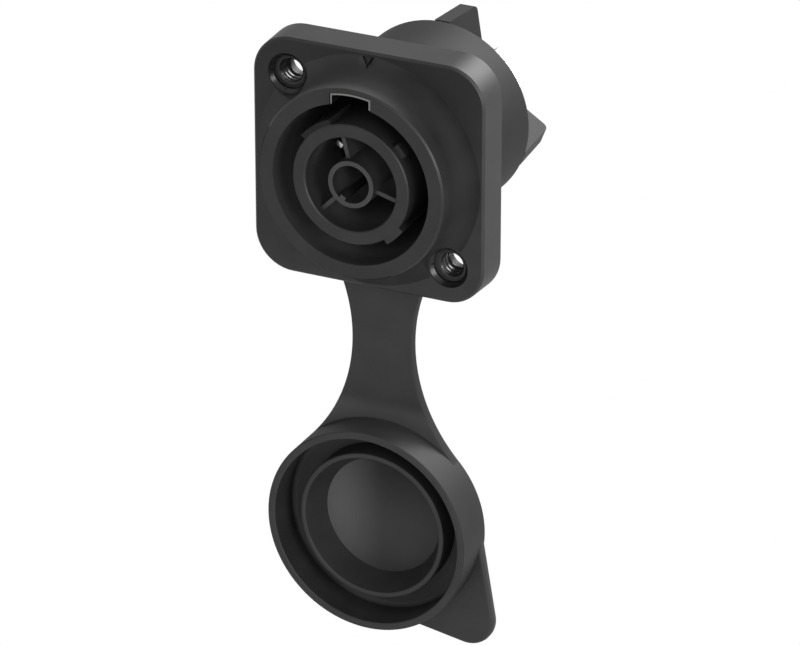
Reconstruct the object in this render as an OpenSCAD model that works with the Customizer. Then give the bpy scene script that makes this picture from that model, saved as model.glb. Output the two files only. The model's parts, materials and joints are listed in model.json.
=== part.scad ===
// Panel mount power connector with a tethered sealing cap.
// X runs to the right and Z up as seen from the front. Y runs into the panel.
// The origin is on the connector's axis, where the gasket meets the panel.

/* [Flange] */
// Width of the square flange
flange_w = 26; // [25.6:0.2:32]
// Height of the square flange
flange_h = 26; // [25.6:0.2:28]
// Thickness of the flange
flange_t = 3.9; // [3:0.1:6]
// Radius of the flange's corners at its front face
flange_corner_r = 4.2; // [2:0.1:5]
// How far the sides lean out from front to back
flange_draft = 0.14; // [0.02:0.02:0.4]
// Bevel along the front edge of the flange
flange_bevel = 0.25; // [0.1:0.05:0.5]

/* [Screw holes] */
// Distance between the two holes, across and also up
hole_pitch = 18.1; // [17.8:0.1:18.6]
// Diameter of the screw hole
hole_d = 2.4; // [2:0.1:3]
// Diameter of the sunk seat for the screw head
head_d = 4.4; // [4:0.1:4.6]
// Depth of the sunk seat's straight wall
head_depth = 0.1; // [0.05:0.05:1.2]
// Diameter of the bite that the screw head takes from the collar's foot
head_bite_d = 4.8; // [4.7:0.1:6.4]

/* [Collar] */
// Outer diameter of the collar
collar_od = 20.8; // [20.4:0.1:21]
// Diameter of the round opening
opening_d = 17.5; // [17.2:0.1:17.8]
// How far the collar stands out from the flange
collar_h = 4.1; // [3:0.1:5]
// Radius of the hollow curve at the collar's foot
foot_r = 2.2; // [1:0.1:2.3]
// Bevel along the collar's outer front edge
collar_bevel = 0.2; // [0.1:0.05:0.4]
// Width of the key slot at the top of the opening
key_w = 4.6; // [3.4:0.1:5.2]
// How far the key slot is cut into the collar's wall
key_depth = 1.15; // [0.7:0.05:1.2]
// Length of the key slot
key_length = 7; // [5:0.5:11]

/* [Latch plate] */
// Thickness of the steel plate that lines the key slot
latch_t = 0.2; // [0.15:0.05:0.45]
// Length of the latch plate
latch_length = 6; // [4:0.5:6.5]
// How far the latch plate is set back from the collar's front
latch_setback = 0.1; // [0.05:0.05:0.4]

/* [Barrel] */
// Outer diameter of the barrel behind the flange
barrel_d = 20.3; // [20:0.1:20.6]
// Length of the barrel behind the flange
barrel_length = 13.7; // [12.9:0.1:18]
// Bore at the back of the barrel
rear_bore_d = 18; // [17.7:0.1:18.4]
// Depth of the socket, from the collar's front to the inner web
socket_depth = 14.6; // [12:0.2:14.6]
// Thickness of the inner web
web_t = 1.5; // [1:0.1:1.7]
// Bevel at the barrel's back edge
barrel_bevel = 0.4; // [0.2:0.1:0.6]
// How far the barrel's root stands out to centre the gasket
root_step = 0.2; // [0.1:0.05:0.3]

/* [Contact insert] */
// Outer diameter of the insert's ring
ring_od = 13.1; // [12.8:0.1:13.4]
// Inner diameter of the insert's ring
ring_id = 10.2; // [10:0.1:10.8]
// Outer diameter of the centre tube
tube_od = 5.1; // [4.6:0.1:5.6]
// Inner diameter of the centre tube
tube_id = 4.1; // [3:0.1:4.2]
// Width of the small key inside the centre tube
tube_key_w = 0.7; // [0.4:0.1:1.2]
// How far the small key stands in from the tube's bore
tube_key_rise = 0.4; // [0.2:0.05:0.8]
// Direction of the small key, measured from +X
tube_key_angle = 240; // [230:1:250]
// Thickness of the three spokes
spoke_t = 0.45; // [0.3:0.05:1]
// How far the spokes are set back from the ring's front
spoke_setback = 1; // [0.5:0.1:3]
// Direction of the first spoke, measured from +X
spoke_angle = 105; // [102:1:108]
// Thickness of the insert's base
base_t = 1.4; // [1:0.1:1.6]
// How far the two broad lugs stand out from the ring
lug_rise = 0.55; // [0.4:0.05:0.9]
// How far the narrow lug stands out from the ring
key_lug_rise = 0.65; // [0.5:0.05:1.1]
// How far the narrow lug is set back from the ring's front
key_lug_setback = 0.6; // [0.2:0.1:2]
// Length of the lugs along the ring
lug_length = 5; // [3:0.5:8]
// Bevel along the ring's front edges
ring_bevel = 0.15; // [0.05:0.05:0.3]

/* [Seal] */
// Thickness of the seal behind the web
seal_t = 0.6; // [0.4:0.1:0.8]

/* [Contacts] */
// Thickness of the contact strip
strip_t = 0.8; // [0.6:0.1:0.9]
// Width of the contact blade inside the insert
blade_w = 4; // [3:0.1:4.2]
// Distance of the blade's middle from the axis
blade_r = 4; // [3.8:0.05:4.1]
// How far the two upper blades are set back from the ring's front
blade_setback = 7; // [5:0.1:9]
// How far the earth blade is set back from the ring's front
earth_setback = 10; // [7:0.1:12]
// Width of the leading tip on the two upper blades
tip_w = 0.6; // [0.4:0.1:2]
// How far the leading tip is set back from the ring's front
tip_setback = 4.2; // [2:0.1:4.8]
// Width of the push-on tab at the back
tab_w = 4.8; // [4.4:0.1:6.5]
// Distance of the tab's middle from the axis
tab_r = 5.6; // [5.3:0.1:6]
// How far the tab stands out behind the barrel
tab_length = 7.3; // [6:0.1:10]
// Diameter of the tab's detent hole
tab_hole_d = 1.4; // [1.2:0.1:2]
// Direction of the right contact, measured from +X
contact_angle = 35; // [33:1:37]

/* [Terminal block] */
// Thickness of the barrier ribs
rib_t = 1.7; // [1:0.1:2]
// How far the ribs stand out behind the barrel
rib_length = 8.1; // [7:0.1:11]
// Reach of a rib from the axis, next to the barrel
rib_reach = 10.05; // [9.4:0.05:10.1]
// How much a rib narrows towards its outer back corner
rib_taper = 0.5; // [0.2:0.1:1]
// Length of the slanted cut at a rib's back corner
rib_slant = 4.4; // [2:0.1:5]
// Fall of the slanted cut along the rib
rib_slant_fall = 1.3; // [0.5:0.1:2]
// Direction of the lower right rib, measured from +X
rib_angle = -22; // [-25:1:-16]

/* [Gasket and strap] */
// Thickness of the gasket, the strap and the grip tab
rubber_t = 1.2; // [1:0.1:1.6]
// How deep the gasket is let into the flange's back
pocket_depth = 0.8; // [0.4:0.1:0.9]
// How far the gasket's edge lies inside the flange's edge
gasket_inset = 0.9; // [0.7:0.1:1.6]
// Radius of the gasket's corners
gasket_corner_r = 3.1; // [2:0.1:4]
// Least width of rubber around a screw hole at the gasket's corner
gasket_land = 0.3; // [0.2:0.1:0.6]
// Width of the strap at its waist
strap_w = 6.7; // [5.5:0.1:8.5]
// Distance from the connector's axis down to the strap's waist
strap_waist_drop = 20.5; // [19.5:0.1:21.5]
// Distance from the flange's edge down to the strap's upper bend
bend_drop = 1; // [0.9:0.05:1.2]

/* [Sealing cap] */
// Distance from the connector's axis down to the cap's middle
cap_drop = 40.9; // [40:0.1:43]
// Inner diameter of the cap's rim
rim_id = 21.2; // [21.1:0.1:21.6]
// Wall of the cap's rim
rim_wall = 0.83; // [0.6:0.01:1.2]
// How far the rim stands out in front of the strap
rim_height = 4.03; // [3.6:0.01:4.6]
// Bevel along the rim's front edges
rim_bevel = 0.15; // [0.05:0.05:0.25]
// Outer diameter of the plug ring inside the cap
plug_od = 16.7; // [16.2:0.1:16.8]
// Wall of the plug ring at its front
plug_wall = 0.55; // [0.4:0.05:0.7]
// How far the plug ring stands out in front of the strap
plug_height = 2.53; // [2.2:0.01:3]
// How much thicker the plug ring is at its root
plug_draft = 1.2; // [0.1:0.1:1.6]
// Thickness of the cap's floor
floor_t = 0.8; // [0.6:0.1:1.2]
// Radius of the grip tab's corner
grip_r = 3; // [2:0.1:4]
// Place of the grip tab's corner from the cap's middle, across and also down
grip_offset = 9.95; // [9:0.05:11]

/* [Clearances] */
// Gap between pieces that slide into each other
slip_gap = 0.05; // [0.02:0.01:0.1]
// Gap around the gasket, at the barrel and the flange
gasket_gap = 0.1; // [0.05:0.05:0.3]
// Gap between a screw hole's wall and the wider hole in the gasket
screw_gap = 0.2; // [0.1:0.05:0.3]
// Gap at each of the strap's bends
bend_gap = 0.3; // [0.2:0.05:0.4]
// Gap between the web's bore and the narrow lug that passes it
lug_gap = 0.15; // [0.05:0.05:0.3]
// Gap between the closed cap's rim and the collar's foot
closing_gap = 0.3; // [0.2:0.05:0.6]

/* [Hidden] */
$fn = 96;
// Sides of the round corners on the flange
corner_sides = 48;
// Overlap of cuts past the faces they cut
cut = 1;

// Places along Y, from the panel's face forwards and backwards
flange_back = pocket_depth - rubber_t;
flange_front = flange_back - flange_t;
collar_front = flange_front - collar_h;
barrel_end = flange_back + barrel_length;
web_front = collar_front + socket_depth;
web_back = web_front + web_t;
base_front = web_back + seal_t;
base_back = base_front + base_t;
block_front = base_back + strip_t;
strap_front = -rubber_t;
strap_y = -rubber_t / 2;
rim_front = strap_front - rim_height;
plug_front = strap_front - plug_height;
floor_front = -floor_t;

// Radii of the housing
foot_outer_r = collar_od / 2 + foot_r;
foot_y = flange_front - foot_r;
root_r = barrel_d / 2 + root_step;
key_r = opening_d / 2 + key_depth;
key_foot_z = sqrt(pow(opening_d / 2, 2) - pow(key_w / 2, 2)) + slip_gap;

// Radii of the insert, its lugs and the bores they pass
lug_r = ring_od / 2 + lug_rise;
key_lug_r = ring_od / 2 + key_lug_rise;
web_bore_r = max(lug_r, key_lug_r) + lug_gap;
base_r = rear_bore_d / 2 - slip_gap;
seal_r = ring_od / 2 + slip_gap;
ring_mid_r = (ring_od + ring_id) / 4;
tube_mid_r = (tube_od + tube_id) / 4;

// Each lug: its middle direction, the angle it spans, its radius and its setback
lugs = [[126, 32, lug_r, ring_bevel], [315, 20, lug_r, ring_bevel],
        [40, 12, key_lug_r, key_lug_setback]];
spoke_angles = [for (i = [0:2]) spoke_angle + 120 * i];
contact_angles = [contact_angle, 180 - contact_angle, 270];
rib_angles = [90, rib_angle, 180 - rib_angle];

// The strap's hollow sides and the grip tab run into the cap's round, just inside it
rim_or = rim_id / 2 + rim_wall;
touch_inset = 0.03;
touch_r = rim_or - touch_inset;
waist_to_cap = cap_drop - strap_waist_drop;
strap_side_r = (pow(strap_w / 2, 2) + pow(waist_to_cap, 2) - pow(touch_r, 2)) / (2 * touch_r - strap_w);
strap_side_x = strap_w / 2 + strap_side_r;
touch_x = touch_r * strap_side_x / (touch_r + strap_side_r);
touch_z = -cap_drop + touch_r * waist_to_cap / (touch_r + strap_side_r);
gasket_w = flange_w - 2 * gasket_inset;
gasket_h = flange_h - 2 * gasket_inset;
gasket_hole_r = hole_d / 2 + screw_gap;
corner_room = (min(gasket_w, gasket_h) - hole_pitch) / sqrt(2) - gasket_hole_r - gasket_land;
gasket_round = min(gasket_corner_r, corner_room / (sqrt(2) - 1));
root_half_w = strap_side_x - sqrt(pow(strap_side_r, 2) - pow(strap_waist_drop - gasket_h / 2, 2));

// The lower bend lies where the closed cap sits square on the collar.
// The rim then stops just short of the collar's hollow foot.
bend_r = rubber_t / 2;
upper_bend_z = -flange_h / 2 - bend_drop;
foot_at_rim = foot_y + sqrt(pow(foot_r, 2) - pow(min(foot_r, max(0, foot_outer_r - rim_id / 2)), 2));
closed_swing = foot_at_rim - closing_gap - (strap_y - rim_front) - strap_y;
lower_bend_z = -(pow(closed_swing, 2) / (cap_drop + 2 * upper_bend_z) + cap_drop) / 2;

// An outline drawn in X and Z, filled from y0 to y1
module slab(y0, y1) {
    translate([0, y1, 0]) rotate([90, 0, 0]) linear_extrude(height = y1 - y0) children();
}

// A profile of radius and Y, turned about the connector's axis
module turned() {
    rotate([-90, 0, 0]) rotate_extrude() children();
}

// A round bar along Y
module rod(r, y0, y1) {
    translate([0, y0, 0]) rotate([-90, 0, 0]) cylinder(r = r, h = y1 - y0);
}

// A turned ring between two radii
module ring(r_in, r_out, y0, y1) {
    turned() translate([r_in, y0]) square([r_out - r_in, y1 - y0]);
}

// A flat strip set square to the radius at an angle
module strip(angle, r, width, y0, y1, thickness) {
    rotate([0, -angle, 0])
        translate([r - thickness / 2, y0, -width / 2])
            cube([thickness, y1 - y0, width]);
}

// Places at the two screw holes
module at_screw_holes() {
    for (side = [-1, 1])
        translate([side * hole_pitch / 2, 0, -side * hole_pitch / 2]) children();
}

// A rectangle with round corners
module round_square(width, height, r) {
    square([width, height - 2 * r], center = true);
    square([width - 2 * r, height], center = true);
    for (x = [-1, 1], z = [-1, 1])
        translate([x * (width / 2 - r), z * (height / 2 - r)]) circle(r);
}

// Flange block: bevelled front edge, sides that lean out to the back
module flange_block() {
    hull()
        for (x = [-1, 1], z = [-1, 1])
            translate([x * (flange_w / 2 - flange_corner_r), flange_front,
                       z * (flange_h / 2 - flange_corner_r)])
                rotate([-90, 0, 0]) {
                    cylinder(r1 = flange_corner_r - flange_bevel, r2 = flange_corner_r,
                             h = flange_bevel, $fn = corner_sides);
                    translate([0, 0, flange_bevel])
                        cylinder(r1 = flange_corner_r, r2 = flange_corner_r + flange_draft,
                                 h = flange_t - flange_bevel, $fn = corner_sides);
                }
}

// Pocket in the flange's back for the gasket, open below for the strap
module gasket_pocket() {
    slab(flange_back - pocket_depth, flange_back + cut) {
        round_square(gasket_w + 2 * gasket_gap, gasket_h + 2 * gasket_gap, gasket_round + gasket_gap);
        translate([-root_half_w - gasket_gap, -flange_h / 2 - cut])
            square([2 * (root_half_w + gasket_gap), flange_h / 2]);
    }
}

// Collar with its bevelled front edge and hollow foot
module collar_body() {
    foot_steps = 10;
    inner_y = flange_front + flange_bevel;
    turned() polygon(concat(
        [[0, inner_y], [0, collar_front], [collar_od / 2 - collar_bevel, collar_front],
         [collar_od / 2, collar_front + collar_bevel]],
        [for (i = [0:foot_steps]) let (a = 90 * i / foot_steps)
            [foot_outer_r - foot_r * cos(a), foot_y + foot_r * sin(a)]],
        [[foot_outer_r, inner_y]]));
}

module barrel_body() {
    turned() polygon([[0, flange_front + cut], [root_r, flange_front + cut], [root_r, 0], [barrel_d / 2, 0],
                      [barrel_d / 2, barrel_end - barrel_bevel],
                      [barrel_d / 2 - barrel_bevel, barrel_end], [0, barrel_end]]);
}

// Screw hole with a sunk seat, and the bite that clears the screw head
module screw_hole_cut() {
    seat_y = flange_front + head_depth;
    rod(hole_d / 2, seat_y, flange_back + cut);
    translate([0, seat_y, 0]) rotate([-90, 0, 0])
        cylinder(r1 = head_d / 2, r2 = hole_d / 2, h = (head_d - hole_d) / 2);
    rod(head_d / 2, flange_front - cut, seat_y);
    rod(head_bite_d / 2, collar_front - cut, flange_front);
}

// Outline of the key slot, drawn smaller by a gap
module key_outline(gap, z_low) {
    intersection() {
        circle(key_r - gap);
        translate([-key_w / 2 + gap, z_low]) square([key_w - 2 * gap, key_r]);
    }
}

module front_housing() {
    color("#37383a") difference() {
        union() {
            intersection() {
                collar_body();
                slab(collar_front - cut, flange_back)
                    round_square(flange_w - 2 * flange_bevel, flange_h - 2 * flange_bevel,
                                 flange_corner_r - flange_bevel);
            }
            difference() {
                flange_block();
                gasket_pocket();
            }
            barrel_body();
        }
        rod(opening_d / 2, collar_front - cut, web_front);
        rod(web_bore_r, web_front - cut, web_back + cut);
        rod(rear_bore_d / 2, web_back, barrel_end + cut);
        slab(collar_front - cut, collar_front + key_length) key_outline(0, 0);
        difference() {
            at_screw_holes() screw_hole_cut();
            rod(collar_od / 2, collar_front - 2 * cut, flange_front);
        }
    }
}

// Bent steel plate that lines the key slot on three sides
module latch_plate() {
    y0 = collar_front + latch_setback;
    color("#d4d2cc") slab(y0, y0 + latch_length)
        difference() {
            key_outline(slip_gap, key_foot_z);
            key_outline(slip_gap + latch_t, 0);
        }
}

// Insert: ring, lugs, spokes and centre tube on one base with slots for the contacts
module contact_insert() {
    color("#3d3e40") difference() {
        union() {
            turned() polygon([[ring_id / 2 + ring_bevel, collar_front],
                              [ring_od / 2 - ring_bevel, collar_front],
                              [ring_od / 2, collar_front + ring_bevel],
                              [ring_od / 2, base_back], [ring_id / 2, base_back],
                              [ring_id / 2, collar_front + ring_bevel]]);
            ring(tube_id / 2, tube_od / 2, collar_front + ring_bevel, base_back);
            for (a = spoke_angles) insert_spoke(a);
            tube_key();
            for (lug = lugs) insert_lug(lug[0], lug[1], lug[2], lug[3]);
            ring(tube_id / 2, base_r, base_front, base_back);
        }
        for (a = contact_angles)
            strip(a, blade_r, blade_w + 2 * slip_gap, base_front - cut, base_back + cut,
                  strip_t + 2 * slip_gap);
    }
}

module insert_spoke(angle) {
    y0 = collar_front + spoke_setback;
    rotate([0, -angle, 0])
        translate([tube_mid_r, y0, -spoke_t / 2])
            cube([ring_mid_r - tube_mid_r, base_back - y0, spoke_t]);
}

// Small key along the bore of the centre tube
module tube_key() {
    r0 = tube_id / 2 - tube_key_rise;
    y0 = collar_front + ring_bevel;
    rotate([0, -tube_key_angle, 0])
        translate([r0, y0, -tube_key_w / 2])
            cube([tube_mid_r - r0, base_back - y0, tube_key_w]);
}

// A lug is a piece of a ring between two planes through the axis
module insert_lug(angle, span, r, setback) {
    y0 = collar_front + setback;
    intersection() {
        ring(ring_mid_r, r, y0, y0 + lug_length);
        slab(y0 - cut, y0 + lug_length + cut)
            polygon([[0, 0], for (a = [angle - span / 2, angle, angle + span / 2])
                     2 * r * [cos(a), sin(a)]]);
    }
}

module insert_seal() {
    color("#242526") ring(seal_r, base_r, web_back, base_front);
}

// A contact: blade, step behind the insert's base, and push-on tab with a narrowed end
module contact(angle, setback, has_tip) {
    tab_end = barrel_end + tab_length;
    nose = strip_t / 2;
    color("#c9c6bd") difference() {
        union() {
            strip(angle, blade_r, blade_w, collar_front + setback, block_front, strip_t);
            if (has_tip)
                strip(angle, blade_r, tip_w, collar_front + tip_setback, block_front, strip_t);
            strip(angle, (blade_r + tab_r) / 2, blade_w, base_back, block_front,
                  tab_r - blade_r + strip_t);
            rotate([0, -angle, 0]) translate([tab_r - strip_t / 2, 0, 0])
                rotate([0, 90, 0]) linear_extrude(height = strip_t)
                    polygon([[-tab_w / 2, base_back], [tab_w / 2, base_back],
                             [tab_w / 2, tab_end - 2 * nose], [tab_w / 2 - nose, tab_end],
                             [nose - tab_w / 2, tab_end], [-tab_w / 2, tab_end - 2 * nose]]);
        }
        rotate([0, -angle, 0]) translate([tab_r - strip_t, tab_end - tab_length / 2, 0])
            rotate([0, 90, 0]) cylinder(d = tab_hole_d, h = 2 * strip_t);
    }
}

module right_contact() {
    contact(contact_angles[0], blade_setback, true);
}

module left_contact() {
    contact(contact_angles[1], blade_setback, true);
}

module earth_contact() {
    contact(contact_angles[2], earth_setback, false);
}

// One barrier rib, a plate from the axis outwards with a slanted back corner
module barrier_rib(angle) {
    rib_end = barrel_end + rib_length;
    outer_r = rib_reach - rib_taper;
    rotate([0, -angle, 0]) translate([0, 0, -rib_t / 2])
        linear_extrude(height = rib_t)
            polygon([[0, barrel_end - cut], [base_r - cut, barrel_end - cut],
                     [base_r - cut, barrel_end + slip_gap], [rib_reach, barrel_end + slip_gap],
                     [outer_r, rib_end - rib_slant_fall], [outer_r - rib_slant, rib_end], [0, rib_end]]);
}

module terminal_block() {
    color("#333436") difference() {
        union() {
            rod(base_r, block_front, barrel_end);
            for (a = rib_angles) barrier_rib(a);
        }
        for (a = contact_angles)
            strip(a, tab_r, tab_w + 2 * slip_gap, block_front - cut, barrel_end + cut,
                  strip_t + 2 * slip_gap);
    }
}

// Outline of the strap: a band with two hollow sides that run into the cap's round
module strap_outline() {
    low = touch_z - cut / 2;
    difference() {
        translate([-touch_x, low]) square([2 * touch_x, -low]);
        for (side = [-1, 1])
            translate([side * strap_side_x, -strap_waist_drop]) circle(strap_side_r);
    }
}

// The strap between two heights, with a round end about a bend if asked
module strap_piece(z_low, z_high, round_top) {
    intersection() {
        slab(strap_front, 0) strap_outline();
        union() {
            translate([-flange_w / 2, strap_front, z_low]) cube([flange_w, rubber_t, z_high - z_low]);
            if (round_top)
                translate([-flange_w / 2, strap_y, z_high]) rotate([0, 90, 0])
                    cylinder(r = bend_r, h = flange_w);
        }
    }
}

// Gasket behind the flange, with the strap's root below it
module flange_gasket() {
    color("#2c2d2e") difference() {
        union() {
            slab(strap_front, 0) round_square(gasket_w, gasket_h, gasket_round);
            strap_piece(upper_bend_z + bend_r + bend_gap, -gasket_h / 2 + cut, false);
        }
        rod(root_r + gasket_gap, strap_front - cut, cut);
        at_screw_holes() rod(gasket_hole_r, strap_front - cut, cut);
    }
}

module tether_strap() {
    color("#2c2d2e") strap_piece(lower_bend_z + bend_r + bend_gap, upper_bend_z, true);
}

// Grip tab at the lower right, with sides that touch the cap's round and the tab's corner
module grip_outline() {
    middle = [grip_offset, -grip_offset];
    lean = acos((touch_r - grip_r) / norm(middle));
    left = [cos(-45 - lean), sin(-45 - lean)];
    right = [cos(-45 + lean), sin(-45 + lean)];
    polygon([[0, 0], touch_r * left, middle + grip_r * left, middle, middle + grip_r * right,
             touch_r * right]);
    translate(middle) circle(grip_r);
}

// Rim, groove, plug ring and floor in one turned profile
module cap_cup() {
    plug_in = plug_od / 2 - plug_wall;
    turned() polygon([[0, floor_front], [plug_in - plug_draft, floor_front], [plug_in, plug_front],
                      [plug_od / 2, plug_front], [plug_od / 2, floor_front],
                      [rim_id / 2, floor_front], [rim_id / 2, rim_front + rim_bevel],
                      [rim_id / 2 + rim_bevel, rim_front], [rim_or - rim_bevel, rim_front],
                      [rim_or, rim_front + rim_bevel], [rim_or, 0], [0, 0]]);
}

module sealing_cap() {
    rim_mid_r = (rim_id / 2 + rim_or) / 2;
    color("#2c2d2e") {
        difference() {
            union() {
                strap_piece(touch_z - cut, lower_bend_z, true);
                translate([0, 0, -cap_drop]) slab(strap_front, 0) grip_outline();
            }
            translate([0, 0, -cap_drop]) rod(rim_mid_r, strap_front - cut, cut);
        }
        translate([0, 0, -cap_drop]) cap_cup();
    }
}

front_housing();
latch_plate();
contact_insert();
insert_seal();
terminal_block();
right_contact();
left_contact();
earth_contact();
flange_gasket();
tether_strap();
sealing_cap();
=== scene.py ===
# %% [markdown]
# # Panel mount power connector with a tethered sealing cap
# This lesson dresses a finished solid model for a picture. The solid model gives every size and place.
# Blender adds what a moulder and a photographer would see: soft edges, one unbroken rubber strap,
# plastic and rubber with a fine grain, plated metal, and quiet studio light on white.

# %% Load the frame
import json
import math
from contextlib import contextmanager

import bpy
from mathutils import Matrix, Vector


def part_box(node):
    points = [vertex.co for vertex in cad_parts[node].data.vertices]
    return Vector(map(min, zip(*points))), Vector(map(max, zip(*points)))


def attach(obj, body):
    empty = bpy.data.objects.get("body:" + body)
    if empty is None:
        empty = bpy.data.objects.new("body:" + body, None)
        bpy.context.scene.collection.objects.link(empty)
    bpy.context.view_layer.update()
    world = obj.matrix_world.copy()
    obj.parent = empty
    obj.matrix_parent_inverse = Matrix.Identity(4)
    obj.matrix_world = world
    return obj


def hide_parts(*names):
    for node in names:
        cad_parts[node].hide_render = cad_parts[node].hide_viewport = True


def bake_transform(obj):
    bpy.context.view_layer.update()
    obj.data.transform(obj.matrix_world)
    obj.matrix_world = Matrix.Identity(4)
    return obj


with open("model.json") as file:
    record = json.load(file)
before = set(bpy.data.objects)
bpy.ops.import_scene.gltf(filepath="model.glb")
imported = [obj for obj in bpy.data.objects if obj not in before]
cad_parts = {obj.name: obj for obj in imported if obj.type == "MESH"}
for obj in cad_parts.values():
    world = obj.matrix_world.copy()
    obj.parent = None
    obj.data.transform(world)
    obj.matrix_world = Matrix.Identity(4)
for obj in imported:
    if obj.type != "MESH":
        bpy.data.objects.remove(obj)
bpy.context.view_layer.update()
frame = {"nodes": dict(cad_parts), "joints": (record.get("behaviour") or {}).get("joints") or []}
nodes = frame["nodes"]
joints = {joint["name"]: joint for joint in frame["joints"]}
MM = 0.001
print("nodes:", sorted(nodes))

# %% [markdown]
# ## Camera
# The photograph was taken with a long lens, a little above the connector and to its right.
# A long lens keeps the square flange nearly square, so the camera stands half a metre away.
# It looks at a point below the socket, which puts the flange near the top of the picture
# and the cap below.

# %% Camera
IMAGE_W = 800
FOCAL_PX = 5057.9
SENSOR_MM = 36.0
AZIMUTH = math.radians(26.1)
ELEVATION = math.radians(23.4)
# The camera's distance is counted from the middle of the flange's front face.
CAMERA_DISTANCE = 0.514
FLANGE_FRONT_Y = -4.3 * MM
# Where the picture's middle lies, right of that point and below it, seen from the camera
AIM_RIGHT = 3.23 * MM
AIM_DOWN = 15.43 * MM

towards_camera = Vector((math.sin(AZIMUTH) * math.cos(ELEVATION),
                         -math.cos(AZIMUTH) * math.cos(ELEVATION),
                         math.sin(ELEVATION)))
picture_right = Vector((math.cos(AZIMUTH), math.sin(AZIMUTH), 0))
picture_up = towards_camera.cross(picture_right)
flange_middle = Vector((0, FLANGE_FRONT_Y, 0))
camera_place = flange_middle + CAMERA_DISTANCE * towards_camera
aim_point = flange_middle + AIM_RIGHT * picture_right - AIM_DOWN * picture_up

bpy.ops.object.select_all(action="DESELECT")
bpy.ops.object.camera_add(location=camera_place)
camera = bpy.context.object
camera.name = "photo_camera"
camera.data.sensor_width = SENSOR_MM
camera.data.lens = FOCAL_PX * SENSOR_MM / IMAGE_W
camera.data.clip_start = 0.01
camera.rotation_euler = (aim_point - camera_place).to_track_quat("-Z", "Y").to_euler()
bpy.context.scene.camera = camera
print("camera at", [round(v, 4) for v in camera_place], "lens", round(camera.data.lens, 1), "mm")

# %% [markdown]
# ## White room
# The photograph has a pure white ground and no shadow. A white world lights the connector evenly
# from all round, and a white floor lies well below it. Dark plastic shows such a room mostly
# as a reflection, which is why the sides that are seen at a flat angle look lighter than the front.
# What the camera and the reflections see of the room is pure white, and the light that it sheds
# is a little weaker.

# %% World and floor
FLOOR_Z = -0.09
FLOOR_SIZE = 3
FLOOR_GREY = 0.85
ROOM_LIGHT = 0.75


def white_when_seen(tree, lit, white):
    """The white shader for what the camera and reflections see, and the lit one for all else."""
    path = tree.nodes.new("ShaderNodeLightPath")
    seen = path.outputs["Is Camera Ray"]
    for ray in ("Is Glossy Ray", "Is Transmission Ray"):
        either = tree.nodes.new("ShaderNodeMath")
        either.operation = "MAXIMUM"
        tree.links.new(seen, either.inputs[0])
        tree.links.new(path.outputs[ray], either.inputs[1])
        seen = either.outputs[0]
    mix = tree.nodes.new("ShaderNodeMixShader")
    tree.links.new(seen, mix.inputs["Fac"])
    tree.links.new(lit, mix.inputs[1])
    tree.links.new(white, mix.inputs[2])
    return mix.outputs["Shader"]


world = bpy.data.worlds.new("white_room")
bpy.context.scene.world = world
world.use_nodes = True
world_tree = world.node_tree
world_tree.nodes.clear()
room = world_tree.nodes.new("ShaderNodeBackground")
white = world_tree.nodes.new("ShaderNodeBackground")
for background, strength in ((room, ROOM_LIGHT), (white, 1)):
    background.inputs["Color"].default_value = (1, 1, 1, 1)
    background.inputs["Strength"].default_value = strength
world_light = white_when_seen(world_tree, room.outputs["Background"], white.outputs["Background"])
world_out = world_tree.nodes.new("ShaderNodeOutputWorld")
world_tree.links.new(world_light, world_out.inputs["Surface"])

bpy.ops.object.select_all(action="DESELECT")
bpy.ops.mesh.primitive_plane_add(size=FLOOR_SIZE, location=(0, 0, FLOOR_Z))
floor = bpy.context.object
floor.name = "studio_floor"
floor_paint = bpy.data.materials.new("floor_white")
floor_paint.use_nodes = True
floor_tree = floor_paint.node_tree
floor_tree.nodes.clear()
matte = floor_tree.nodes.new("ShaderNodeBsdfDiffuse")
matte.inputs["Color"].default_value = (FLOOR_GREY, FLOOR_GREY, FLOOR_GREY, 1)
glow = floor_tree.nodes.new("ShaderNodeEmission")
floor_light = white_when_seen(floor_tree, matte.outputs["BSDF"], glow.outputs["Emission"])
floor_out = floor_tree.nodes.new("ShaderNodeOutputMaterial")
floor_tree.links.new(floor_light, floor_out.inputs["Surface"])
floor.data.materials.append(floor_paint)
print("white room with a floor at z", FLOOR_Z)

# %% [markdown]
# ## Softboxes
# A softbox behind gives the bright corner of the flange and the bright top of the barrel.
# One from above lights the collar's shoulder. One from the right and one beside the camera reach
# into the socket, the screw holes and the cap.

# %% Softboxes
# Direction from the connector, distance, width and height in metres, and power in watts
SOFTBOXES = {
    "rim_softbox": ((0.24, 0.82, 0.49), 0.6, (0.4, 0.3), 4.2),
    "top_softbox": ((0.22, 0.33, 0.92), 0.6, (0.2, 0.2), 2.0),
    "right_softbox": ((0.82, -0.5, 0.22), 0.7, (0.3, 0.3), 3.2),
    "camera_fill": ((0.3, -0.85, 0.45), 0.8, (0.3, 0.3), 1.2),
}
for name, (direction, distance, size, power) in SOFTBOXES.items():
    place = aim_point + distance * Vector(direction).normalized()
    bpy.ops.object.light_add(type="AREA", location=place)
    lamp = bpy.context.object
    lamp.name = name
    lamp.data.shape = "RECTANGLE"
    lamp.data.size, lamp.data.size_y = size
    lamp.data.energy = power
    lamp.rotation_euler = (aim_point - place).to_track_quat("-Z", "Y").to_euler()
    print(name, "of", power, "W")

# %% [markdown]
# ## Patterns that make a finish
# Every finish is built from noise. A noise can mix two colours, vary the roughness and raise a bump.
# All patterns read Object coordinates, in metres, so they stay on the piece.

# %% Helpers for finishes


def new_finish(name):
    """A new material, with its node tree and its shader."""
    finish = bpy.data.materials.new(name)
    finish.use_nodes = True
    return finish, finish.node_tree, finish.node_tree.nodes["Principled BSDF"]


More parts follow.
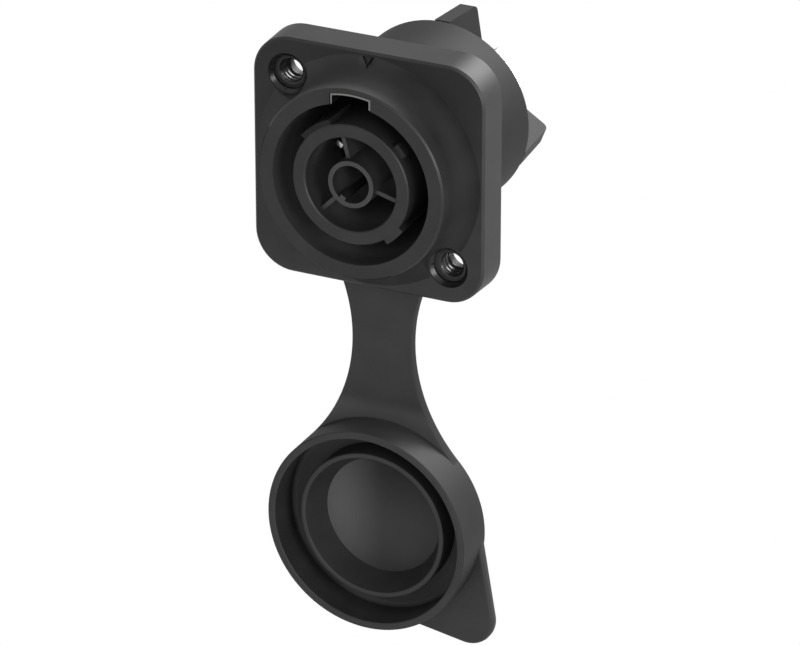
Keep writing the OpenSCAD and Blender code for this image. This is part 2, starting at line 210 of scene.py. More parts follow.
def noise_at(tree, place, scale, detail):
    """A noise that is read at a place."""
    noise = tree.nodes.new("ShaderNodeTexNoise")
    noise.inputs["Scale"].default_value = scale
    noise.inputs["Detail"].default_value = detail
    tree.links.new(place, noise.inputs["Vector"])
    return noise.outputs["Fac"]


def mix_colour(tree, shader, noise, dark, light, span=(0, 1)):
    """Lets a noise mix the colour from dark to light. span is where the mix starts and ends."""
    tint = tree.nodes.new("ShaderNodeValToRGB")
    for element, position, colour in zip(tint.color_ramp.elements, span, (dark, light)):
        element.position = position
        element.color = (*colour, 1)
    tree.links.new(noise, tint.inputs["Fac"])
    tree.links.new(tint.outputs["Color"], shader.inputs["Base Color"])


def vary_roughness(tree, shader, noise, rough):
    """Lets a noise vary the roughness between two values."""
    sheen = tree.nodes.new("ShaderNodeMapRange")
    sheen.inputs["To Min"].default_value = rough[0]
    sheen.inputs["To Max"].default_value = rough[1]
    tree.links.new(noise, sheen.inputs["Value"])
    tree.links.new(sheen.outputs["Result"], shader.inputs["Roughness"])


def raise_bump(tree, shader, noise, strength, depth_mm):
    """Lets a noise raise the surface."""
    bump = tree.nodes.new("ShaderNodeBump")
    bump.inputs["Strength"].default_value = strength
    bump.inputs["Distance"].default_value = depth_mm * MM
    tree.links.new(noise, bump.inputs["Height"])
    tree.links.new(bump.outputs["Normal"], shader.inputs["Normal"])


# %% [markdown]
# ## Moulded plastic
# The housing is glass-filled nylon: nearly black, satin, with a very fine spark-eroded grain.
# The colour is mixed a little by a broad noise, which also makes the gloss uneven,
# and a fine noise gives the grain as bump.
# The mould isn't finished alike all over, so there is one finish for each kind of surface.
# Some finishes also carry painted light and shade: lighter colours as painted fill light in the
# socket, in the chambers and on the insert's fronts, and darker ones as painted shade on the edges
# that look down and in the screw holes.

# %% Plastic finishes
MOTTLE_SCALE = 260
MOTTLE_SPAN = (0.3, 0.7)
GRAIN_STRENGTH = 0.35


def grained_finish(name, dark, light, rough, grain_mm, depth_mm, specular):
    """A dark moulded finish: mottled colour, uneven gloss and a fine grain."""
    finish, tree, shader = new_finish(name)
    shader.inputs["Specular IOR Level"].default_value = specular
    place = tree.nodes.new("ShaderNodeTexCoord").outputs["Object"]
    mottle = noise_at(tree, place, MOTTLE_SCALE, 4)
    mix_colour(tree, shader, mottle, dark, light, MOTTLE_SPAN)
    vary_roughness(tree, shader, mottle, rough)
    grain = noise_at(tree, place, 1 / (grain_mm * MM), 3)
    raise_bump(tree, shader, grain, GRAIN_STRENGTH, depth_mm)
    return finish


# Its colour is later painted darker towards the flange's top edge, as painted shade.
housing_finish = grained_finish("satin_black_nylon", (0.014, 0.014, 0.0144), (0.020, 0.020, 0.0205),
                                rough=(0.46, 0.56), grain_mm=0.16, depth_mm=0.02, specular=0.23)
collar_finish = grained_finish("smooth_black_nylon", (0.011, 0.011, 0.0113), (0.015, 0.015, 0.0154),
                               rough=(0.36, 0.46), grain_mm=0.12, depth_mm=0.01, specular=0.25)
edge_finish = grained_finish("glossy_black_nylon", (0.009, 0.009, 0.0093), (0.014, 0.014, 0.0144),
                             rough=(0.50, 0.58), grain_mm=0.16, depth_mm=0.015, specular=0.42)
# Painted shade: dull, darker rounds on the edges that look down or to the left.
dull_shaded_edge_finish = grained_finish("dull_shaded_edge_nylon", (0.009, 0.009, 0.0093), (0.013, 0.013, 0.0134),
                                  rough=(0.56, 0.66), grain_mm=0.2, depth_mm=0.01, specular=0.05)
# The collar's hollow foot. Its colour is later painted lighter on its left, as painted light.
foot_painted_light_finish = grained_finish("foot_nylon", (0.010, 0.010, 0.0103), (0.015, 0.015, 0.0154),
                             rough=(0.66, 0.76), grain_mm=0.16, depth_mm=0.02, specular=0.22)
# Painted fill light: the socket's walls get a lighter colour than the housing, to lift their shade.
socket_fill_light_finish = grained_finish("socket_nylon", (0.018, 0.018, 0.0184), (0.024, 0.024, 0.0245),
                               rough=(0.6, 0.7), grain_mm=0.16, depth_mm=0.02, specular=0.13)
# The screw holes: smoother, so the lamps give them bright bands, and painted darker as painted shade.
smooth_shaded_hole_finish = grained_finish("smooth_shaded_hole_nylon", (0.006, 0.006, 0.0062), (0.010, 0.010, 0.0103),
                             rough=(0.24, 0.32), grain_mm=0.12, depth_mm=0.005, specular=0.32)
barrel_finish = grained_finish("matte_black_nylon", (0.008, 0.008, 0.0083), (0.012, 0.012, 0.0124),
                               rough=(0.58, 0.68), grain_mm=0.2, depth_mm=0.02, specular=0.16)
block_finish = grained_finish("block_nylon", (0.009, 0.009, 0.0093), (0.013, 0.013, 0.0134),
                              rough=(0.46, 0.56), grain_mm=0.2, depth_mm=0.02, specular=0.12)
insert_finish = grained_finish("insert_nylon", (0.012, 0.012, 0.0123), (0.017, 0.017, 0.0174),
                               rough=(0.42, 0.52), grain_mm=0.12, depth_mm=0.015, specular=0.23)
# Painted fill light: the chambers are later painted lighter in their depth.
chamber_fill_light_finish = grained_finish("chamber_nylon", (0.012, 0.012, 0.0123), (0.016, 0.016, 0.0164),
                                rough=(0.6, 0.7), grain_mm=0.16, depth_mm=0.02, specular=0.10)
# Painted light: the fronts of the tube and the spokes are painted lighter than the ring.
web_fill_light_finish = grained_finish("web_nylon", (0.026, 0.026, 0.0265), (0.032, 0.032, 0.0325),
                            rough=(0.42, 0.52), grain_mm=0.12, depth_mm=0.015, specular=0.26)
print("plastic:", housing_finish.name, barrel_finish.name, insert_finish.name, "and 9 more")

# %% [markdown]
# ## Rubber
# The rubber is softer in its gloss and has a slightly coarser grain. The rim's wall is duller than
# the front of the lips, and so are the inner walls. The groove is painted a little lighter, as painted
# fill light in its shade.
# The floor of the cap, which gets a painted sheen, and the strap start as copies of the plain rubber.

# %% Rubber finishes
rubber_finish = grained_finish("black_rubber", (0.010, 0.010, 0.0103), (0.015, 0.015, 0.0154),
                               rough=(0.52, 0.66), grain_mm=0.22, depth_mm=0.02, specular=0.36)
rim_finish = grained_finish("rim_rubber", (0.008, 0.008, 0.0083), (0.012, 0.012, 0.0124),
                            rough=(0.56, 0.68), grain_mm=0.22, depth_mm=0.02, specular=0.24)
# Painted fill light: the groove gets a lighter colour than the rest of the rubber.
groove_fill_light_finish = grained_finish("groove_rubber", (0.026, 0.026, 0.0265), (0.032, 0.032, 0.0325),
                               rough=(0.6, 0.7), grain_mm=0.22, depth_mm=0.02, specular=0.27)
wall_finish = grained_finish("dull_rubber", (0.011, 0.011, 0.0113), (0.015, 0.015, 0.0154),
                             rough=(0.62, 0.74), grain_mm=0.22, depth_mm=0.02, specular=0.16)
floor_sheen_finish = rubber_finish.copy()
floor_sheen_finish.name = "painted_sheen_rubber"
strap_finish = rubber_finish.copy()
strap_finish.name = "strap_rubber"
print("rubber:", rubber_finish.name, rim_finish.name, floor_sheen_finish.name, "and 3 more")

# %% [markdown]
# ## Painted light and shade, and slow changes of gloss
# Some colours change slowly across a face and paint the studio's light and shade into it.
# The flange's front is painted darker towards its top edge, as painted shade. Its sides grow glossier
# towards the right. The collar's hollow foot is painted lighter on its left, as painted light,
# and is glossier at its top.
# The walls of the socket and of the insert's chambers are darkest at their mouth and are painted
# lighter in their depth, as painted fill light that keeps them even in the shade.
# The floor inside the cap is painted lighter towards its left side, as a painted sheen, and is duller
# towards its top. The strap's lower end and the top of the cap's rim are painted a little lighter
# than the rest, as painted light where the strap meets the cap.

# %% Helpers for slow changes


def number_along(finish, direction, start, end, first, last):
    """A number that goes from first to last between two places along a direction."""
    tree = finish.node_tree
    place = tree.nodes.new("ShaderNodeTexCoord")
    reach = tree.nodes.new("ShaderNodeVectorMath")
    reach.operation = "DOT_PRODUCT"
    reach.inputs[1].default_value = direction
    tree.links.new(place.outputs["Object"], reach.inputs[0])
    way = tree.nodes.new("ShaderNodeMapRange")
    way.interpolation_type = "SMOOTHSTEP"
    ends = {"From Min": start, "From Max": end, "To Min": first, "To Max": last}
    for name, value in ends.items():
        way.inputs[name].default_value = value
    tree.links.new(reach.outputs["Value"], way.inputs["Value"])
    return way.outputs["Result"]


def fade_colour(finish, direction, start, end, colour):
    """Lets a finish's colour turn into another one between two places along a direction."""
    tree = finish.node_tree
    colour_socket = tree.nodes["Principled BSDF"].inputs["Base Color"]
    own_colour = colour_socket.links[0].from_socket
    mix = tree.nodes.new("ShaderNodeMix")
    mix.data_type = "RGBA"
    mix.inputs["B"].default_value = (*colour, 1)
    tree.links.new(number_along(finish, direction, start, end, 0, 1), mix.inputs["Factor"])
    tree.links.new(own_colour, mix.inputs["A"])
    tree.links.new(mix.outputs["Result"], colour_socket)
    print(finish.name, "changes its colour")


def fade_gloss(finish, direction, start, end, first, last):
    """Lets a finish's strength of reflection change between two places along a direction."""
    level = finish.node_tree.nodes["Principled BSDF"].inputs["Specular IOR Level"]
    finish.node_tree.links.new(number_along(finish, direction, start, end, first, last), level)
    print(finish.name, "changes its gloss")


# %% Finishes that change
RIGHT, UP, BACK, UP_AND_FORWARD = (1, 0, 0), (0, 0, 1), (0, 1, 0), (0, -0.707, 0.707)
collar_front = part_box("front_housing")[0].y
insert_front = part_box("contact_insert")[0].y

# Painted shade: the flange's front is painted darker towards its top edge.
fade_colour(housing_finish, UP, 0, 13 * MM, (0.008, 0.008, 0.0082))
# Painted light: the collar's foot is painted lighter on its left.
fade_colour(foot_painted_light_finish, RIGHT, 0, -9 * MM, (0.030, 0.030, 0.0305))
fade_gloss(foot_painted_light_finish, UP_AND_FORWARD, 10.7 * MM, 13 * MM, 0.13, 0.5)
fade_gloss(edge_finish, RIGHT, 8.6 * MM, 11.6 * MM, 0.25, 0.42)
fade_gloss(barrel_finish, RIGHT, -5 * MM, 2.5 * MM, 0.08, 0.175)
# Painted fill light: the socket's walls are painted lighter in their depth.
fade_colour(socket_fill_light_finish, BACK, collar_front + 0.8 * MM, collar_front + 4.5 * MM,
            (0.068, 0.068, 0.0685))
# Painted fill light: the chambers' walls are painted lighter in their depth.
fade_colour(chamber_fill_light_finish, BACK, insert_front + 0.3 * MM, insert_front + 4.5 * MM,
            (0.055, 0.055, 0.0555))
# Painted sheen: the cap's floor is painted lighter towards its left side.
fade_colour(floor_sheen_finish, RIGHT, 0.5 * MM, -6.5 * MM, (0.055, 0.055, 0.0555))
fade_gloss(floor_sheen_finish, UP, -42 * MM, -35 * MM, 0.36, 0.12)
# Painted light: the strap's lower end is painted lighter where it meets the cap.
fade_colour(strap_finish, UP, -27 * MM, -28.8 * MM, (0.032, 0.032, 0.0325))
# Painted light: the top of the rim's wall is painted lighter below the strap.
fade_colour(rim_finish, UP, -32.4 * MM, -29.4 * MM, (0.024, 0.024, 0.0245))
fade_gloss(rim_finish, RIGHT, -7 * MM, 0, 0.06, 0.24)

# %% [markdown]
# ## Plated metal
# The contacts are tin-plated brass, cut from strip, so they show fine lines along the strip.
# The latch plate is bare spring steel. These are the only bright spots of the object.
# A noise that is stretched along the strip gives the lines as uneven gloss and a very shallow bump.

# %% Metal finishes
LINES_PER_M = (9000, 250, 9000)
LINE_STRENGTH = 0.2
LINE_DEPTH_MM = 0.005


def strip_metal(name, dark, light, rough):
    """Bright strip metal with fine rolling lines along Y."""
    finish, tree, shader = new_finish(name)
    shader.inputs["Metallic"].default_value = 1
    place = tree.nodes.new("ShaderNodeTexCoord")
    stretch = tree.nodes.new("ShaderNodeMapping")
    stretch.inputs["Scale"].default_value = LINES_PER_M
    tree.links.new(place.outputs["Object"], stretch.inputs["Vector"])
    lines = noise_at(tree, stretch.outputs["Vector"], 1, 3)
    mix_colour(tree, shader, lines, dark, light)
    vary_roughness(tree, shader, lines, rough)
    raise_bump(tree, shader, lines, LINE_STRENGTH, LINE_DEPTH_MM)
    return finish


latch_finish = strip_metal("spring_steel", (0.12, 0.12, 0.118), (0.26, 0.26, 0.256), (0.25, 0.4))
contact_finish = strip_metal("tin_plated_brass", (0.42, 0.42, 0.41), (0.56, 0.56, 0.55), (0.2, 0.35))
cut_edge_finish = strip_metal("cut_brass_edge", (0.03, 0.027, 0.022), (0.06, 0.055, 0.045),
                              (0.35, 0.5))
print("metal:", latch_finish.name, contact_finish.name, cut_edge_finish.name)

# %% [markdown]
# ## Softened edges on the rigid pieces
# No moulded or stamped edge is perfectly sharp, and it is the narrow bright line along an edge
# that makes a dark part readable. The solids have sharp edges, so each rigid piece is a copy
# of its solid: the loose triangles are merged, flat areas are joined to single faces,
# and every edge sharper than 30 degrees gets a small round.
# Slivers are removed first, because one tiny edge would stop the rounds of the whole piece.
# The copy then stands in for the solid.

# %% Helpers that select and measure


def activate(piece):
    """Makes one object the only selected and the active one."""
    bpy.ops.object.select_all(action="DESELECT")
    piece.select_set(True)
    bpy.context.view_layer.objects.active = piece


@contextmanager
def editing(piece, kind="VERT", chosen=None):
    """Opens a piece for editing, with all of it selected or only the chosen points, edges or faces."""
    activate(piece)
    bpy.ops.object.mode_set(mode="EDIT")
    bpy.ops.mesh.select_mode(type=kind)
    if chosen is None:
        bpy.ops.mesh.select_all(action="SELECT")
    else:
        bpy.ops.mesh.select_all(action="DESELECT")
        bpy.ops.object.mode_set(mode="OBJECT")
        mesh = piece.data
        for part in {"VERT": mesh.vertices, "EDGE": mesh.edges, "FACE": mesh.polygons}[kind]:
            part.select = chosen(part)
        bpy.ops.object.mode_set(mode="EDIT")
    yield
    bpy.ops.object.mode_set(mode="OBJECT")


def corners(piece, part):
    """Where the points of an edge or a face lie."""
    return [piece.data.vertices[v].co for v in part.vertices]


def from_axis(point, centre=Vector((0, 0, 0))):
    """How far a point lies from an axis along Y."""
    return math.hypot(point.x - centre.x, point.z - centre.z)


def outward(face, centre=Vector((0, 0, 0))):
    """A face's distance from an axis along Y, and how much it looks away from that axis."""
    spoke = Vector((face.center.x - centre.x, 0, face.center.z - centre.z))
    return spoke.length, face.normal.dot(spoke.normalized())


# %% Helpers that clean and round
MERGE = 0.0005 * MM
SLIVER_MM = 0.002
FLAT = math.radians(0.5)
SMOOTH = math.radians(32)


def copy_of_solid(node, name):
    """A copy of a solid's mesh with its triangles merged and its flat areas joined."""
    piece = bpy.data.objects.new(name, nodes[node].data.copy())
    bpy.context.scene.collection.objects.link(piece)
    piece.data.materials.clear()
    with editing(piece):
        bpy.ops.mesh.remove_doubles(threshold=MERGE)
        bpy.ops.mesh.customdata_custom_splitnormals_clear()
        bpy.ops.mesh.dissolve_degenerate(threshold=SLIVER_MM * MM)
        bpy.ops.mesh.select_all(action="SELECT")
        bpy.ops.mesh.dissolve_limited(angle_limit=FLAT)
    return piece


def clear_slivers(piece, size_mm=SLIVER_MM):
    """Merges points that lie on top of each other and removes faces without area."""
    with editing(piece):
        bpy.ops.mesh.remove_doubles(threshold=size_mm * MM)
        bpy.ops.mesh.dissolve_degenerate(threshold=size_mm * MM)


def even_shading(piece):
    """Smooths the shading but lets the large flat faces keep their own direction."""
    activate(piece)
    bpy.ops.object.shade_smooth_by_angle(angle=SMOOTH)
    weights = piece.modifiers.new("flat_faces_first", "WEIGHTED_NORMAL")
    weights.mode = "FACE_AREA"
    weights.keep_sharp = True
    bpy.ops.object.modifier_apply(modifier=weights.name)


def round_edges(piece, width_mm, segments=2, sharp_deg=30):
    """Rounds every edge that is sharper than an angle, then smooths the shading."""
    activate(piece)
    bevel = piece.modifiers.new("edge_round", "BEVEL")
    bevel.width = width_mm * MM
    bevel.segments = segments
    bevel.limit_method = "ANGLE"
    bevel.angle_limit = math.radians(sharp_deg)
    bpy.ops.object.modifier_apply(modifier=bevel.name)
    even_shading(piece)
    return piece


# %% Helpers that finish


def finish_piece(piece, finish):
    """Gives a piece its main material."""
    piece.data.materials.clear()
    piece.data.materials.append(finish)
    print(piece.name, len(piece.data.polygons), "faces")


def paint_faces(piece, finish, chosen):
    """Gives another finish to the faces for which chosen(face) is true."""
    piece.data.materials.append(finish)
    number = len(piece.data.materials) - 1
    painted = [face for face in piece.data.polygons if chosen(face)]
    for face in painted:
        face.material_index = number
    print(piece.name, "has", len(painted), "faces in", finish.name)


def stand_in(piece, node, finish):
    """Finishes the copy of one rigid solid, which rides on the connector in its place."""
    finish_piece(piece, finish)
    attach(piece, "connector")
    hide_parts(node)


# %% Helpers that cut


def cut_with(piece, cutter):
    """A boolean cut by another object, which is then deleted."""
    activate(piece)
    cut = piece.modifiers.new("cut", "BOOLEAN")
    cut.operation = "DIFFERENCE"
    cut.object = cutter
    cut.solver = "EXACT"
    bpy.ops.object.modifier_apply(modifier=cut.name)
    bpy.data.objects.remove(cutter)


def round_bar(radius, place, sides=192, length=20 * MM):
    """A cylinder along Y."""
    bpy.ops.object.select_all(action="DESELECT")
    bpy.ops.mesh.primitive_cylinder_add(vertices=sides, radius=radius, depth=length,
                                        location=place, rotation=(math.pi / 2, 0, 0))
    return bpy.context.object


def box_between(name, low, high):
    """A cube primitive stretched between two corners, with its place in its mesh."""
    bpy.ops.object.select_all(action="DESELECT")
    bpy.ops.mesh.primitive_cube_add(size=1, location=(Vector(low) + Vector(high)) / 2)
    piece = bpy.context.object
    piece.name = name
    piece.scale = Vector(high) - Vector(low)
    bpy.ops.object.transform_apply(location=True, rotation=True, scale=True)
    return piece


# %% [markdown]
# ## Fine cuts in the housing
# The edges are rounded before the fine cuts, because those would stop the rounds.
# A small V at the flange's top edge shows which way is up. It is engraved by two thin bars.
# The screw holes are tapped, so three rings are cut into each wall and one into the countersink.

# %% Housing and its mark
MARK_TIP = Vector((0.05, FLANGE_FRONT_Y / MM, 11.45)) * MM
MARK_TOPS_X = (-0.45, 0.55)
MARK_TOP_Z = 12.4
STROKE_W = 0.24 * MM
STROKE_EXTRA = 0.2 * MM
# The bar's middle stands so far before the flange that it cuts 0.1 mm deep.
BAR_T = 1.0 * MM
BAR_FORWARD = Vector((0, 0.4 * MM, 0))

housing = round_edges(copy_of_solid("front_housing", "housing_shell"), 0.12)
for x in MARK_TOPS_X:
    stroke = Vector((x, FLANGE_FRONT_Y / MM, MARK_TOP_Z)) * MM - MARK_TIP
    bpy.ops.object.select_all(action="DESELECT")
    bpy.ops.mesh.primitive_cube_add(size=1, location=MARK_TIP + stroke / 2 - BAR_FORWARD,
                                    rotation=(0, -math.atan2(stroke.z, stroke.x), 0))
    bar = bpy.context.object
    bar.scale = (stroke.length + STROKE_EXTRA, BAR_T, STROKE_W)
    bpy.ops.object.transform_apply(location=True, rotation=True, scale=True)
    cut_with(housing, bar)
print("V mark cut into", housing.name)

# %% Tapped holes
HOLE_R = 1.2 * MM
SINK_R = HOLE_R + 0.45 * MM
HOLE_PLACE = 9.05 * MM
THREAD_R = 0.17 * MM
THREAD_RINGS = ((-3.65, SINK_R), (-2.95, HOLE_R), (-2.35, HOLE_R), (-1.75, HOLE_R))

for side in (-1, 1):
    for y, radius in THREAD_RINGS:
        bpy.ops.object.select_all(action="DESELECT")
        bpy.ops.mesh.primitive_torus_add(major_radius=radius, minor_radius=THREAD_R,
                                         major_segments=64, minor_segments=8,
                                         rotation=(math.pi / 2, 0, 0),
                                         location=(side * HOLE_PLACE, y * MM, -side * HOLE_PLACE))
        cut_with(housing, bpy.context.object)
clear_slivers(housing)
even_shading(housing)
stand_in(housing, "front_housing", housing_finish)

# %% [markdown]
# ## One housing, several surfaces
# The collar's face is smooth, the flange's sides are a little glossier than its front,
# and the barrel is matte. The collar's hollow foot is dull. The edges that look down or to the left
# are dull and painted darker, as painted shade. The socket's walls are painted lighter, as painted
# fill light in their shade. The screw holes are smoother, so the lamps give them bright bands,
# and they are painted darker, as painted shade.
# Faces are chosen by their place and by the way they look.

# %% Surfaces of the housing
COLLAR_FACE_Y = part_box("front_housing")[0].y + 0.15 * MM
BARREL_START_Y = 0.1 * MM
SOCKET_R = 9.3 * MM
FLANGE_SIDE = 12.8 * MM
FOOT_INNER_R = 10.3 * MM
FOOT_OUTER_R = 12.7 * MM
EDGE_ROUND = 0.1 * MM
HOLE_MOUTH_R = 2.3 * MM


def on_barrel(face):
    return face.center.y > BARREL_START_Y and outward(face)[1] > 0


def on_flange_side(face):
    reach, looks = outward(face)
    return reach > FLANGE_SIDE and looks > 0.6 and face.center.y < 0


def on_foot(face):
    reach, looks = outward(face)
    in_depth = COLLAR_FACE_Y < face.center.y < FLANGE_FRONT_Y
    return FOOT_INNER_R < reach < FOOT_OUTER_R and looks > 0.06 and in_depth


def in_socket(face):
    reach, looks = outward(face)
    return reach < SOCKET_R and looks < -0.5 and face.center.y > COLLAR_FACE_Y


def on_lower_edge(face):
    """The narrow rounds at the front of collar and flange, where they look down or to the left. They
    get painted shade.
    """
    at_flange = abs(face.center.y - FLANGE_FRONT_Y) < EDGE_ROUND
    at_front = face.center.y < COLLAR_FACE_Y or at_flange
    is_round = -0.95 < face.normal.y < -0.25
    return at_front and is_round and face.normal.x + face.normal.z < -0.3


def in_hole(face):
    reach, looks = outward(face, hole_axis)
    return reach < HOLE_MOUTH_R and looks < -0.4


paint_faces(housing, collar_finish, lambda face: face.center.y < COLLAR_FACE_Y)
paint_faces(housing, barrel_finish, on_barrel)
paint_faces(housing, edge_finish, on_flange_side)
# Painted light on the collar's foot, lighter on its left.
paint_faces(housing, foot_painted_light_finish, on_foot)
# Painted fill light on the socket's walls.
paint_faces(housing, socket_fill_light_finish, in_socket)
# Painted shade on the rounds that look down or to the left.
paint_faces(housing, dull_shaded_edge_finish, on_lower_edge)
# Painted shade: the screw holes are painted darker.
for side in (-1, 1):
    hole_axis = Vector((side * HOLE_PLACE, 0, -side * HOLE_PLACE))
    paint_faces(housing, smooth_shaded_hole_finish, in_hole)

# %% [markdown]
# ## Insert
# A small key stands on the inner wall of the insert's tube. Where they meet, the key's points lie
# between the wall's own points. They are drawn to those, so that no sliver is left there.
# The chambers between the spokes are dull and dark, and are painted lighter in their depth as painted
# fill light. The bore of the tube and the ring's outer side take the barrel's dark finish as painted
# shade.
# The fronts of the tube and of the spokes are painted a little lighter than the ring, as painted
# light.

# %% Insert
TUBE_R = 2.05 * MM
WALL_REACH = 0.03 * MM
KEY_X = -0.6 * MM
KEY_Z = -1.5 * MM
KEY_MERGE = 0.12 * MM


def at_tube_key(point):
    on_wall = abs(from_axis(point.co) - TUBE_R) < WALL_REACH
    return on_wall and point.co.x < KEY_X and point.co.z < KEY_Z


insert = copy_of_solid("contact_insert", "insert_core")
with editing(insert, "VERT", at_tube_key):
    bpy.ops.mesh.remove_doubles(threshold=KEY_MERGE)
clear_slivers(insert)
round_edges(insert, 0.08)
clear_slivers(insert, 0.0005)
even_shading(insert)
stand_in(insert, "contact_insert", insert_finish)

# %% Surfaces of the insert
INSERT_FRONT_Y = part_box("contact_insert")[0].y + 0.15 * MM
CHAMBER_R = 5.2 * MM
RING_SIDE_R = 6.6 * MM
BORE_R = 1.98 * MM
WEB_R = 5.6 * MM
WEB_DEPTH = 2.5 * MM


def in_chamber(face):
    return face.center.y > INSERT_FRONT_Y and outward(face)[0] < CHAMBER_R


def bore_or_outside_in_painted_shade(face):
    reach = outward(face)[0]
    return face.center.y > INSERT_FRONT_Y and (reach > RING_SIDE_R or reach < BORE_R)


def on_web(face):
    """The front of the tube and of the spokes, without the ring around them. They get painted light.
    """
    farthest = max(from_axis(corner) for corner in corners(insert, face))
    near_front = face.center.y < INSERT_FRONT_Y + WEB_DEPTH
    return face.normal.y < -0.8 and farthest < WEB_R and near_front


# Painted fill light in the chambers.
paint_faces(insert, chamber_fill_light_finish, in_chamber)
# Painted shade: the tube's bore and the ring's outer side get the dark barrel finish.
paint_faces(insert, barrel_finish, bore_or_outside_in_painted_shade)
# Painted light on the fronts of the tube and the spokes.
paint_faces(insert, web_fill_light_finish, on_web)

# %% [markdown]
# ## Rear pieces
# The ribs of the terminal block end in blunt corners, which get a larger round than the other edges.
# The contact strip is plated before it is cut, so its narrow sides are bare and darker.

# %% Terminal block
NEAR = 0.02 * MM
RIB_CORNER_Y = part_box("terminal_block")[1].y - 1.3 * MM
RIB_OUTER_R = 8 * MM
RIB_ROUND = 0.7 * MM


def at_rib_corner(edge):
    return all(abs(end.y - RIB_CORNER_Y) < NEAR and from_axis(end) > RIB_OUTER_R
               for end in corners(block, edge))


block = copy_of_solid("terminal_block", "rear_block")
with editing(block, "EDGE", at_rib_corner):
    bpy.ops.mesh.bevel(offset=RIB_ROUND, segments=5)
round_edges(block, 0.12)
stand_in(block, "terminal_block", block_finish)

# %% Latch plate, contacts and seal
CONTACT_ANGLES = {"right": 35, "left": 145, "earth": 270}

latch = round_edges(copy_of_solid("latch_plate", "latch_liner"), 0.03)
stand_in(latch, "latch_plate", latch_finish)
for side, angle in CONTACT_ANGLES.items():
    strip = round_edges(copy_of_solid(side + "_contact", side + "_strip"), 0.06)
    stand_in(strip, side + "_contact", contact_finish)
    turn = math.radians(angle)
    across_strip = Vector((-math.sin(turn), 0, math.cos(turn)))
    paint_faces(strip, cut_edge_finish, lambda face: abs(face.normal.dot(across_strip)) > 0.35)
seal = round_edges(copy_of_solid("insert_seal", "seal_ring"), 0.1)
stand_in(seal, "insert_seal", rubber_finish)

# %% [markdown]
# ## One rubber moulding
# Gasket, strap and cap are one piece of rubber. The solid model splits it at two bends,
# so that the cap can swing. Here the strap is unbroken: it is made in an upper and a lower half
# that meet in the middle of the strap.
# A flat bar is cut hollow on both sides by two large cylinders, its edges are rounded,
# and it is sliced across so that it can bend.

# %% Sizes of the strap, read from the solids
strap_low, strap_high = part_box("tether_strap")
cap_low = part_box("sealing_cap")[0]
upper_bend = Vector(joints["strap_hinge"]["pos_m"])
lower_bend = Vector(joints["cap_hinge"]["pos_m"])
STRAP_T = strap_high.y - strap_low.y
RIM_R = -cap_low.x
CAP_Z = -40.9 * MM
STRAP_WAIST_Z = -20.5 * MM
STRAP_HALF_W = 3.35 * MM
GASKET_EDGE_Z = -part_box("flange_gasket")[1].z
# Strap and grip tab reach a little into the cap's rim.
SEAT_R = RIM_R - 0.03 * MM
waist_to_cap = STRAP_WAIST_Z - CAP_Z
# The hollow sides touch the cap's round.
side_r = (STRAP_HALF_W**2 + waist_to_cap**2 - RIM_R**2) / (2 * (RIM_R - STRAP_HALF_W))
side_x = STRAP_HALF_W + side_r
touch_x = RIM_R * side_x / (RIM_R + side_r)
touch_z = CAP_Z + RIM_R * waist_to_cap / (RIM_R + side_r)
strap_middle_z = (upper_bend.z + lower_bend.z) / 2
print("strap sides have a radius of", round(side_r / MM, 2), "mm")
print("strap meets cap at z", round(touch_z / MM, 2), "mm")

# %% The whole strap
SLICES = 60
BELOW_TOUCH = 0.3 * MM

strap = box_between("strap_bar", (-touch_x, -STRAP_T, touch_z - BELOW_TOUCH),
                    (touch_x, 0, GASKET_EDGE_Z))
for side in (-1, 1):
    cut_with(strap, round_bar(side_r, (side * side_x, 0, STRAP_WAIST_Z), sides=384))
cut_with(strap, round_bar(SEAT_R, (0, 0, CAP_Z)))
round_edges(strap, 0.22, segments=3, sharp_deg=40)
with editing(strap):
    for i in range(1, SLICES):
        bpy.ops.mesh.select_all(action="SELECT")
        height = touch_z + (GASKET_EDGE_Z - touch_z) * i / SLICES
        bpy.ops.mesh.bisect(plane_co=(0, 0, height), plane_no=(0, 0, 1))
print("strap has", len(strap.data.polygons), "faces")


def strap_half(name, keep_above):
    """A copy of the strap that keeps what lies above or below its middle."""
    half = bpy.data.objects.new(name, strap.data.copy())
    bpy.context.scene.collection.objects.link(half)
    with editing(half):
        bpy.ops.mesh.bisect(plane_co=(0, 0, strap_middle_z), plane_no=(0, 0, 1),
                            clear_inner=keep_above, clear_outer=not keep_above, use_fill=True)
    even_shading(half)
    finish_piece(half, strap_finish)
    paint_faces(half, wall_finish, lambda face: abs(face.normal.x) > 0.5)
    return half


upper_half = strap_half("strap_upper", True)
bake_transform(upper_half)
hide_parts("tether_strap")

lower_half = strap_half("strap_lower", False)
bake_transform(lower_half)
bpy.data.objects.remove(strap)
print("strap halves meet at z", round(strap_middle_z / MM, 2), "mm")

# %% [markdown]
# ## Gasket
# The solid gasket ends in a short stub of the strap. The unbroken strap takes the stub's place,
# so the gasket is cut off straight at its lower edge and the cut is closed.

# %% Gasket behind the flange
gasket = copy_of_solid("flange_gasket", "gasket_plate")
with editing(gasket):
    bpy.ops.mesh.bisect(plane_co=(0, 0, GASKET_EDGE_Z), plane_no=(0, 0, -1), clear_outer=True)
    bpy.ops.mesh.select_mode(type="EDGE")
    bpy.ops.mesh.select_all(action="SELECT")
    bpy.ops.mesh.fill_holes(sides=0)
round_edges(gasket, 0.1)
stand_in(gasket, "flange_gasket", rubber_finish)

# %% [markdown]
# ## Sealing cap
# The cap is a shallow cup with two rings: an outer rim that goes over the collar and a plug ring
# that goes into it. It starts as a thick disc. The disc's front is inset to the rim's wall,
# pushed down for the groove, and so on inwards to the floor,
# which is how a turner would think of the profile.
# The lips and the groove's outer corner are then rounded, because moulded rubber is never sharp there.

